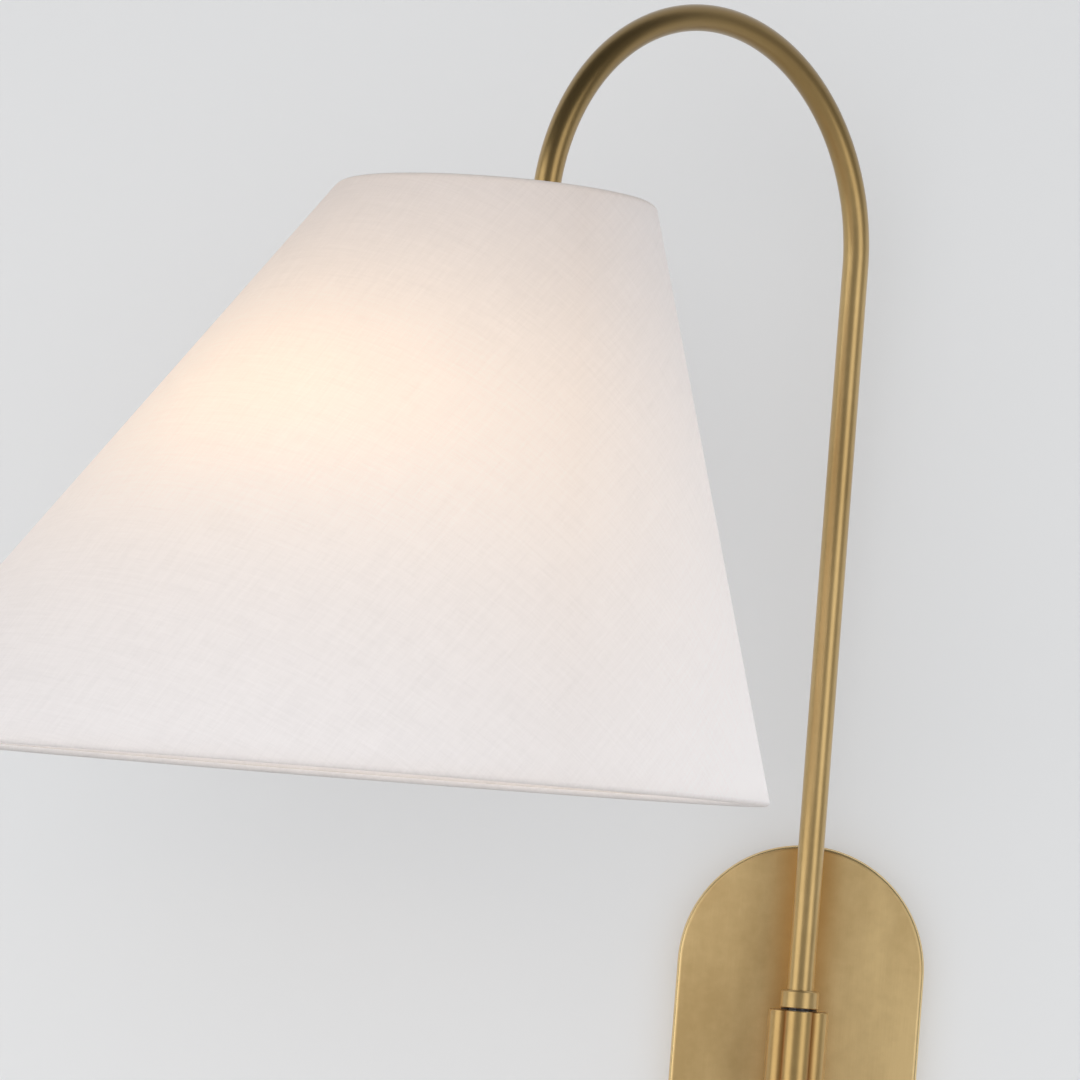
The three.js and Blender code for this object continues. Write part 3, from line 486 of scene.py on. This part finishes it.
def loft(name, rings, closed, sharp=32):
    """Skins rings of equal length. closed joins the last ring to the first, and otherwise both ends are
    capped. The surface's places are metres around the rings and along them."""
    count = len(rings[0])
    along = distances([ring[0] for ring in rings], closed)
    around = distances(max(rings, key=spread), True)
    points = [point for ring in rings for point in ring]
    faces, surface = [], []
    for i in range(len(rings) if closed else len(rings) - 1):
        here, there = i * count, (i + 1) % len(rings) * count
        for j in range(count):
            k = (j + 1) % count
            faces.append((here + j, here + k, there + k, there + j))
            surface.append([(around[j], along[i]), (around[j + 1], along[i]),
                            (around[j + 1], along[i + 1]), (around[j], along[i + 1])])
    if not closed:
        first, last = range(count - 1, -1, -1), range(len(points) - count, len(points))
        for cap in (first, last):
            faces.append(list(cap))
            surface.append([(points[j][0], points[j][2]) for j in cap])
    return build(name, points, faces, surface, sharp)


def spread(ring):
    return sum((Vector(a) - Vector(b)).length for a, b in zip(ring, ring[1:]))


def distances(points, closed):
    total = [0.0]
    wrapped = list(points) + ([points[0]] if closed else [])
    for a, b in zip(wrapped, wrapped[1:]):
        total.append(total[-1] + (Vector(a) - Vector(b)).length)
    return total


def rounded(profile, radius, steps=4):
    """A closed outline of (a, b) points with each corner rounded, as far as its sides allow."""
    out = []
    count = len(profile)
    for i, corner in enumerate(profile):
        here = Vector(corner)
        before, after = Vector(profile[i - 1]) - here, Vector(profile[(i + 1) % count]) - here
        half = before.angle(after) / 2
        reach = min(radius / math.tan(half), before.length * 0.45, after.length * 0.45)
        if half > math.radians(80) or reach < 1e-6:
            out.append(tuple(here))
            continue
        start, end = here + before.normalized() * reach, here + after.normalized() * reach
        for step in range(steps + 1):
            t = step / steps
            out.append(tuple(start * (1 - t) ** 2 + here * 2 * t * (1 - t) + end * t ** 2))
    return out


def turned(name, profile, matrix, segments=64, radius=0.0, sharp=32):
    """A profile of (radius, height) millimetres turned about z. It closes on itself, or starts and ends at
    radius 0."""
    solid = profile[0][0] == 0 and profile[-1][0] == 0
    line = [(a * MM, b * MM) for a, b in profile]
    if radius and solid:
        line = [line[0]] + rounded(line, radius * MM)[1:-1] + [line[-1]]
    elif radius:
        line = rounded(line, radius * MM)
    if solid:
        line = [(max(a, 1e-5), b) for a, b in line]
    turns = [2 * math.pi * i / segments for i in range(segments)]
    rings = []
    for a, b in line:
        rings.append([tuple(matrix @ Vector((a * math.cos(t), a * math.sin(t), b))) for t in turns])
    return loft(name, rings, closed=not solid, sharp=sharp)


def ring_of(radius, sides, twist=0.0):
    turns = [twist + 2 * math.pi * i / sides for i in range(sides)]
    return [(radius * math.cos(t), radius * math.sin(t)) for t in turns]


def swept(name, path, radius, bore=0.0, sides=32, looped=False):
    """A round rod or tube along a path of points."""
    points = [Vector(point) for point in path]
    count = len(points)
    tangents = []
    for i in range(count):
        before = points[i - 1] if looped or i else points[0]
        after = points[(i + 1) % count] if looped or i < count - 1 else points[-1]
        tangents.append((after - before).normalized())
    side = tangents[0].orthogonal().normalized()
    frames = []
    for i, tangent in enumerate(tangents):
        if i:
            side = tangents[i - 1].rotation_difference(tangent) @ side
        side = (side - tangent * side.dot(tangent)).normalized()
        frames.append((points[i], side.copy(), tangent.cross(side)))

    def skin(size, order):
        return [[tuple(at + a * x + b * y) for x, y in ring_of(size, sides)] for at, a, b in order]

    rings = skin(radius, frames)
    if looped:
        return loft(name, rings, closed=True, sharp=60)
    if bore:
        return loft(name, rings + skin(bore, frames[::-1]), closed=True)
    return loft(name, rings, closed=False)


def finish_piece(piece, body, material, node):
    """Puts a piece on its body, with its material, in place of a CAD node."""
    piece.data.materials.clear()
    piece.data.materials.append(material)
    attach(piece, body)
    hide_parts(node)


def cut(piece, cutters):
    """Takes the cutters' shapes out of a piece and removes them."""
    for cutter in cutters:
        modifier = piece.modifiers.new("cut", "BOOLEAN")
        modifier.object = cutter
        modifier.solver = "EXACT"
    graph = bpy.context.evaluated_depsgraph_get()
    mesh = bpy.data.meshes.new_from_object(piece.evaluated_get(graph))
    piece.modifiers.clear()
    piece.data = mesh
    mesh.polygons.foreach_set("use_smooth", [True] * len(mesh.polygons))
    mesh.set_sharp_from_angle(angle=math.radians(32))
    for cutter in cutters:
        bpy.data.objects.remove(cutter)


def rod(name, start, end, radius, sides=48):
    return swept(name, [start, end], radius, sides=sides)


# ---- finishes ---------------------------------------------------------------------------
MATERIALS = {
    # The plate's darker band is a painted reflection and its edge a painted highlight; the column's grooves and
    # the arch's top are painted shade.
    "plate": brass("burnished_brass_plate", grain=(2200, 40, 1), light=(246, 218, 160), dark=(218, 187, 129),
                   roughness=(0.46, 0.54), painted_shade=(behind_column, (190, 138, 62)), painted_highlight=plate_edge),
    "column": brass("burnished_brass_column", grain=(2600, 60, 1), light=(206, 174, 112), dark=(184, 150, 92),
                    roughness=(0.28, 0.35), painted_shade=(reed_grooves, (168, 112, 42))),
    "tube": brass("burnished_brass_tube", grain=(2600, 60, 1), roughness=(0.28, 0.35),
                  painted_shade=(over_arch, (138, 112, 62))),
    "turned": brass("burnished_brass_turned", grain=(90, 2600, 1), roughness=(0.28, 0.35)),
    "burnished_brass": brass("burnished_brass", by_surface=False, grain=(1400, 1400, 60)),
    "plain_brass": brass("plain_brass", by_surface=False, grain=(400, 400, 400), light=(226, 196, 128),
                         dark=(200, 168, 104), roughness=(0.2, 0.3)),
    "zinc_steel": plated("zinc_steel", (206, 208, 211), (168, 171, 176)),
    "nickel": plated("nickel", (214, 211, 204), (182, 178, 170), 0.25),
    "green_steel": moulded("green_steel", (56, 128, 72), (38, 98, 54), metallic=0.3),
    "white_steel": moulded("white_steel", (238, 236, 231), (224, 221, 214)),
    "black_nylon": moulded("black_nylon", (36, 32, 29), (23, 20, 18), 0.6),
    "porcelain": moulded("porcelain", (242, 240, 234), (230, 227, 219), 0.22, 300.0, 0.00002),
    "black_insulation": moulded("black_insulation", (30, 30, 32), (18, 18, 20), 0.35),
    "white_insulation": moulded("white_insulation", (240, 240, 236), (224, 224, 219), 0.35),
    "green_insulation": moulded("green_insulation", (48, 132, 70), (34, 106, 54), 0.35),
    "gold_insulation": moulded("gold_insulation", (196, 172, 110), (170, 146, 88), 0.3),
    "orange_plastic": moulded("orange_plastic", (226, 122, 42), (204, 102, 30), 0.5),
    "white_linen": linen("white_linen"),
    "linen_seam": linen("linen_seam", (244, 240, 233), (232, 227, 219), 0.1, lit=False),
    "frosted_glass": lit_glass("frosted_glass"),
    "lamp_core": lit_glass("lamp_core"),
}


def dress_cad_nodes():
    """Gives each CAD node that stays in view its slot's material."""
    for entry in frame["record"]["subparts"]:
        node = frame["nodes"][entry["node"]]
        node.data.materials.clear()
        node.data.materials.append(MATERIALS[entry["material_slot"]])


def middle(name):
    low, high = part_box(name)
    return (low + high) / 2


# ---- back plate -------------------------------------------------------------------------
def stadium(width, height, y, arc=48):
    """A stadium outline in the plane of the wall, anticlockwise seen from the room."""
    radius = width / 2
    lift = height / 2 - radius
    points = []
    for centre, start in ((lift, 0.0), (-lift, math.pi)):
        for i in range(arc + 1):
            angle = start + math.pi * i / arc
            points.append((radius * math.cos(angle), y, centre + radius * math.sin(angle)))
    return points


def make_plate():
    width, height = PLATE_HIGH.x - PLATE_LOW.x, PLATE_HIGH.z - PLATE_LOW.z
    front = PLATE_LOW.y
    rings = []
    for i in range(9):
        angle = math.pi / 2 * i / 8
        inset = PLATE_EDGE * (1 - math.cos(angle))
        depth = PLATE_EDGE * (1 - math.sin(angle))
        rings.append(stadium(width - 2 * inset, height - 2 * inset, front + depth))
    rim = [stadium(width - 2 * PLATE_LIP, height - 2 * PLATE_LIP, 0), stadium(width, height, -PLATE_LIP)]
    hollow = 2 * PLATE_WALL
    inner_front = front + PLATE_WALL
    inside = [stadium(width - hollow - 2 * MM, height - hollow - 2 * MM, inner_front),
              stadium(width - hollow, height - hollow, inner_front + MM),
              stadium(width - hollow, height - hollow, 0)]
    piece = loft("plate_cover_fine", inside + rim + rings, closed=False)
    low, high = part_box("hollow_nipple")
    nipple = middle("hollow_nipple")
    around = (high.x - low.x) / 2 + 0.3 * MM
    hole = rod("hole", (nipple.x, front - 5 * MM, nipple.z), (nipple.x, MM, nipple.z), around)
    screw = middle("cover_screw_left")
    side_hole = rod("side_hole", (-width, screw.y, screw.z), (width, screw.y, screw.z), COVER_SCREW_HOLE)
    cut(piece, [hole, side_hole])
    finish_piece(piece, "wall_mount", MATERIALS["plate"], "plate_cover")


def block(name, matrix, sizes):
    mesh = bpy.data.meshes.new(name)
    shape = bmesh.new()
    bmesh.ops.create_cube(shape, size=1, matrix=matrix @ Matrix.Diagonal((*sizes, 1)))
    shape.to_mesh(mesh)
    shape.free()
    piece = bpy.data.objects.new(name, mesh)
    scene.collection.objects.link(piece)
    return piece


def make_cover_screws():
    head = 1.4 * MM
    dome = [(0, -7), (1.8, -7), (1.8, 0), (3.4, 0), (3.4, 0.35), (2.9, 0.9), (1.9, 1.25), (0, 1.4)]
    for name, side in (("cover_screw_left", -1), ("cover_screw_right", 1)):
        low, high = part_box(name)
        base = (high.x if side > 0 else low.x) - side * head
        at = Matrix.Translation((base, middle(name).y, middle(name).z))
        turn = at @ Matrix.Rotation(side * math.pi / 2, 4, "Y")
        piece = turned(name + "_fine", dome, turn, 40)
        slot = block("slot", turn @ Matrix.Translation((0, 0, 1.2 * MM)), (0.9 * MM, 8 * MM, 1.2 * MM))
        cut(piece, [slot])
        finish_piece(piece, "wall_mount", MATERIALS["turned"], name)


# ---- column -----------------------------------------------------------------------------
def reeded_outline(inset, per_reed=36):
    """The column's outline: each reed is an arc through two grooves and its crest."""
    pitch = 2 * math.pi / REEDS
    chord = COLUMN_GROOVE * math.sin(pitch / 2)
    rise = COLUMN_RADIUS - COLUMN_GROOVE * math.cos(pitch / 2)
    reed = (chord ** 2 + rise ** 2) / (2 * rise)
    reach = math.asin(chord / reed)
    away = COLUMN_RADIUS - reed
    points = []
    for i in range(REEDS):
        crest = (i + 0.5) * pitch
        for j in range(per_reed):
            angle = crest - reach + 2 * reach * j / per_reed
            x = away * math.cos(crest) + reed * math.cos(angle)
            y = away * math.sin(crest) + reed * math.sin(angle)
            shrink = 1 - inset / math.hypot(x, y)
            points.append((x * shrink, y * shrink))
    return points


def make_column():
    low, high = COLUMN_LOW.z, COLUMN_HIGH.z
    edge = COLUMN_CHAMFER
    outline, inset = reeded_outline(0), reeded_outline(edge)
    bore = ring_of(COLUMN_BORE, len(outline), math.atan2(outline[0][1], outline[0][0]))
    levels = [(inset, low), (outline, low + edge), (outline, high - edge), (inset, high),
              (bore, high), (bore, low)]
    rings = [[tuple(COLUMN @ Vector((x, y, z))) for x, y in shape] for shape, z in levels]
    piece = loft("reeded_column_fine", rings, closed=True, sharp=50)
    holes = []
    for name, radius in (("hollow_nipple", NIPPLE_HOLE), ("stop_pin", PIN_HOLE)):
        z = middle(name).z
        start, end = (COLUMN @ Vector((0, y, z)) for y in (2 * MM, 20 * MM))
        holes.append(rod("hole", start, end, radius))
    cut(piece, holes)
    finish_piece(piece, "wall_mount", MATERIALS["column"], "reeded_column")


def make_collars():
    """The swivel collar above the column and the turn knob that mirrors it below."""
    low, high = COLLAR_LOW.z / MM, COLLAR_HIGH.z / MM
    radius = (COLLAR_HIGH.x - COLLAR_LOW.x) / 2 / MM
    seat = low + 2.3
    collar = [(5, low), (radius - 0.3, low), (radius, low + 0.3), (radius, high - 0.8), (radius - 0.8, high),
              (6.3, high), (6.3, seat), (5, seat)]
    piece = turned("swivel_collar_fine", collar, COLUMN, 96, 0.2)
    finish_piece(piece, "arm", MATERIALS["turned"], "swivel_collar")
    low, high = KNOB_LOW.z / MM, KNOB_HIGH.z / MM
    shaft_end = low + 2.5
    knob = [(0, low), (radius - 0.8, low), (radius, low + 0.8), (radius, high - 0.3), (radius - 0.3, high),
            (3.1, high), (3.1, shaft_end), (0, shaft_end)]
    piece = turned("switch_knob_fine", knob, COLUMN, 96, 0.2)
    z = middle("knob_set_screw").z
    cut(piece, [rod("hole", (POST.x, POST.y + MM, z), (POST.x, POST.y + 12 * MM, z), SET_SCREW_HOLE)])
    finish_piece(piece, "switch", MATERIALS["turned"], "switch_knob")


def make_spacer():
    wall_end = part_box("column_spacer")[1].y
    at = middle("column_spacer")
    start, end = (at.x, POST.y + 6 * MM, at.z), (at.x, wall_end, at.z)
    piece = rod("column_spacer_fine", start, end, SPACER_RADIUS, 96)
    bore = rod("bore", (at.x, POST.y, at.z), (at.x, 0, at.z), NIPPLE_HOLE)
    saddle_radius = SADDLE_RADIUS / MM
    saddle = turned("saddle", [(0, -60), (saddle_radius, -60), (saddle_radius, 60), (0, 60)], COLUMN, 96)
    cut(piece, [bore, saddle])
    finish_piece(piece, "wall_mount", MATERIALS["turned"], "column_spacer")


# ---- gooseneck --------------------------------------------------------------------------
def arm_points(bottom, past_end=0.0):
    """The gooseneck's centreline: post, half circle, and the nose bent outward."""
    line = [(0, bottom + (ARCH_Z - bottom) * i / 12) for i in range(12)]
    for i in range(97):
        angle = math.pi * (1 - i / 96)
        line.append((ARCH_RADIUS + ARCH_RADIUS * math.cos(angle), ARCH_Z + ARCH_RADIUS * math.sin(angle)))
    for i in range(17):
        angle = math.pi + NOSE_ANGLE * i / 16
        u = TUBE_U + NOSE_RADIUS * (1 + math.cos(angle))
        line.append((u, NOSE_Z + NOSE_RADIUS * math.sin(angle)))
    line.append((NOSE_U + past_end * math.sin(NOSE_ANGLE), NOSE_END_Z - past_end * math.cos(NOSE_ANGLE)))
    return [ARM @ Vector((u, 0, z)) for u, z in line]


def make_tube():
    piece = swept("arm_tube_fine", arm_points(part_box("arm_tube")[0].z), TUBE_RADIUS, TUBE_BORE, 56)
    finish_piece(piece, "arm", MATERIALS["tube"], "arm_tube")
    route = arm_points(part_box("lamp_lead")[0].z, LEAD_PAST_END)
    lead = swept("lamp_lead_fine", route, LEAD_RADIUS, sides=20)
    finish_piece(lead, "arm", MATERIALS["gold_insulation"], "lamp_lead")


# ---- shade ------------------------------------------------------------------------------
SHADE_HEIGHT = SHADE_TOP_Z - SHADE_BOTTOM_Z
SLANT = (SHADE_BOTTOM_U - SHADE_TOP_U) / SHADE_HEIGHT
FLARE = (SHADE_BOTTOM_RADIUS - SHADE_TOP_RADIUS) / SHADE_HEIGHT
APEX_DROP = SHADE_TOP_RADIUS / FLARE   # from the cone's apex down to the top circle
APEX = Vector((SHADE_TOP_U - APEX_DROP * SLANT, 0, SHADE_TOP_Z + APEX_DROP))
SHADE_SEGMENTS = 192
TURNS = [math.pi + 2 * math.pi * i / SHADE_SEGMENTS for i in range(SHADE_SEGMENTS + 1)]


def shade_point(angle, z, inset=0.0):
    """A point on the slanted cone, at a height and an inset from its outer face, in the arm's frame."""
    drop = SHADE_TOP_Z - z
    radius = SHADE_TOP_RADIUS + drop * FLARE - inset
    return Vector((SHADE_TOP_U + drop * SLANT + radius * math.cos(angle), radius * math.sin(angle), z))


def unrolled_angles():
    """The cloth's own angle about the cone's apex at each segment, as when the cone is laid flat."""
    rays = [shade_point(turn, SHADE_BOTTOM_Z) - APEX for turn in TURNS]
    angles = [0.0]
    for a, b in zip(rays, rays[1:]):
        angles.append(angles[-1] + a.angle(b))
    return [angle - angles[-1] / 2 for angle in angles]


UNROLLED = unrolled_angles()           # 0 opposite the seam, so the threads run upright there


def shade_band(name, profile):
    """A closed profile of (inset, height) metres carried round the slanted cone. Its surface places are the
    cloth's own, as when it is laid flat."""
    points, flat = [], []
    for inset, z in profile:
        row = [shade_point(turn, z, inset) for turn in TURNS]
        points += [tuple(ARM @ point) for point in row[:-1]]
        reaches = [(point - APEX).length for point in row]
        flat.append([(reach * math.cos(a), reach * math.sin(a)) for reach, a in zip(reaches, UNROLLED)])
    faces, surface = [], []
    count, rows = SHADE_SEGMENTS, len(profile)
    for i in range(rows):
        k = (i + 1) % rows
        for j in range(count):
            corners = ((i, j), (i, j + 1), (k, j + 1), (k, j))
            faces.append([a * count + b % count for a, b in corners])
            surface.append([flat[a][b] for a, b in corners])
    return build(name, points, faces, surface)


def thick_line(line, thickness):
    """A closed outline about a line of (inset, height) points."""
    left, right = [], []
    for i, point in enumerate(line):
        before, after = line[max(i - 1, 0)], line[min(i + 1, len(line) - 1)]
        along = (Vector(after) - Vector(before)).normalized()
        across = Vector((-along.y, along.x)) * thickness / 2
        left.append(tuple(Vector(point) + across))
        right.append(tuple(Vector(point) - across))
    return left + right[::-1]


def hook(z, up):
    """The cloth's turn round a ring wire, from the wall inward, as (inset, height)."""
    line = []
    for i in range(9):
        angle = math.pi * i / 8
        inset = 2.75 * MM - 2.35 * MM * math.cos(angle)
        line.append((inset, z + up * (2.7 * MM - 2.3 * MM * math.sin(angle))))
    return line


def make_shade():
    inset = CLOTH / 2 + 0.05 * MM
    margin = 6 * MM
    steps = 24
    rise = (SHADE_HEIGHT - 2 * margin) / steps
    side = [(inset, SHADE_BOTTOM_Z + margin + rise * i) for i in range(steps + 1)]
    line = hook(SHADE_BOTTOM_Z, 1)[::-1] + side + hook(SHADE_TOP_Z, -1)
    piece = shade_band("shade_fabric_cloth", thick_line(line, CLOTH))
    finish_piece(piece, "arm", MATERIALS["white_linen"], "shade_fabric")
    return piece


def make_rings():
    for name in ("shade_top_ring", "shade_bottom_ring"):
        low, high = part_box(name)
        wire = (high.z - low.z) / 2 / math.cos(math.pi / 6)   # the CAD's wire is six-sided
        circle = ring_of((high.x - low.x) / 2 - wire, 160)
        path = [middle(name) + Vector((x, y, 0)) for x, y in circle]
        piece = swept(name + "_fine", path, wire, sides=14, looped=True)
        finish_piece(piece, "arm", MATERIALS["white_steel"], name)


# ---- lamp holder and bulb ---------------------------------------------------------------
def make_holder():
    cap = [(3.2, -6.2), (9.5, -6.2), (14.6, -8.6), (17.8, -14.4), (17.8, -24),
           (19, -24), (19, -14), (15.4, -7.4), (10, -4.8), (3.2, -4.8)]
    neck = [(2.9, -4.5), (9, -4.5), (9, 8), (6.3, 8), (6.3, -0.4), (2.9, -0.4)]
    shell = [(16.2, -58), (17.4, -58), (17.4, -15), (16.2, -15)]
    parts = (("socket_cap", cap, 1.0), ("socket_neck", neck, 0.8), ("socket_shell", shell, 0.4))
    for name, profile, radius in parts:
        piece = turned(name + "_fine", profile, HOLDER, 80, radius)
        finish_piece(piece, "arm", MATERIALS["turned"], name)


def bulb_outline(inset):
    """The bulb's neck and globe down to its tip on the axis, in millimetres."""
    neck = [(12.6, -56.4), (12.9, -59), (13.9, -64), (15.6, -70), (17.8, -76.5), (20.4, -83)]
    line = [(a - inset, b) for a, b in neck]
    radius, drop = GLOBE_RADIUS / MM - inset, GLOBE_DROP / MM
    shoulder, steps = 0.82, 24
    for i in range(steps):
        angle = shoulder - (shoulder + math.pi / 2) * i / steps
        line.append((radius * math.cos(angle), radius * math.sin(angle) - drop))
    return line + [(0, -radius - drop)]


def make_bulb():
    piece = turned("bulb_glass_fine", bulb_outline(0)[::-1] + bulb_outline(GLASS / MM), HOLDER, 72)
    finish_piece(piece, "arm", MATERIALS["frosted_glass"], "bulb_glass")


make_camera()
make_lights()
make_stage(painted("wall_paint", (186, 187, 188), 0.54), painted("floor_paint", (200, 199, 198), 0.4))
scene.view_settings.view_transform = "Standard"
dress_cad_nodes()
make_plate()
make_cover_screws()
make_column()
make_collars()
make_spacer()
make_tube()
shade = make_shade()
make_rings()
make_holder()
make_bulb()
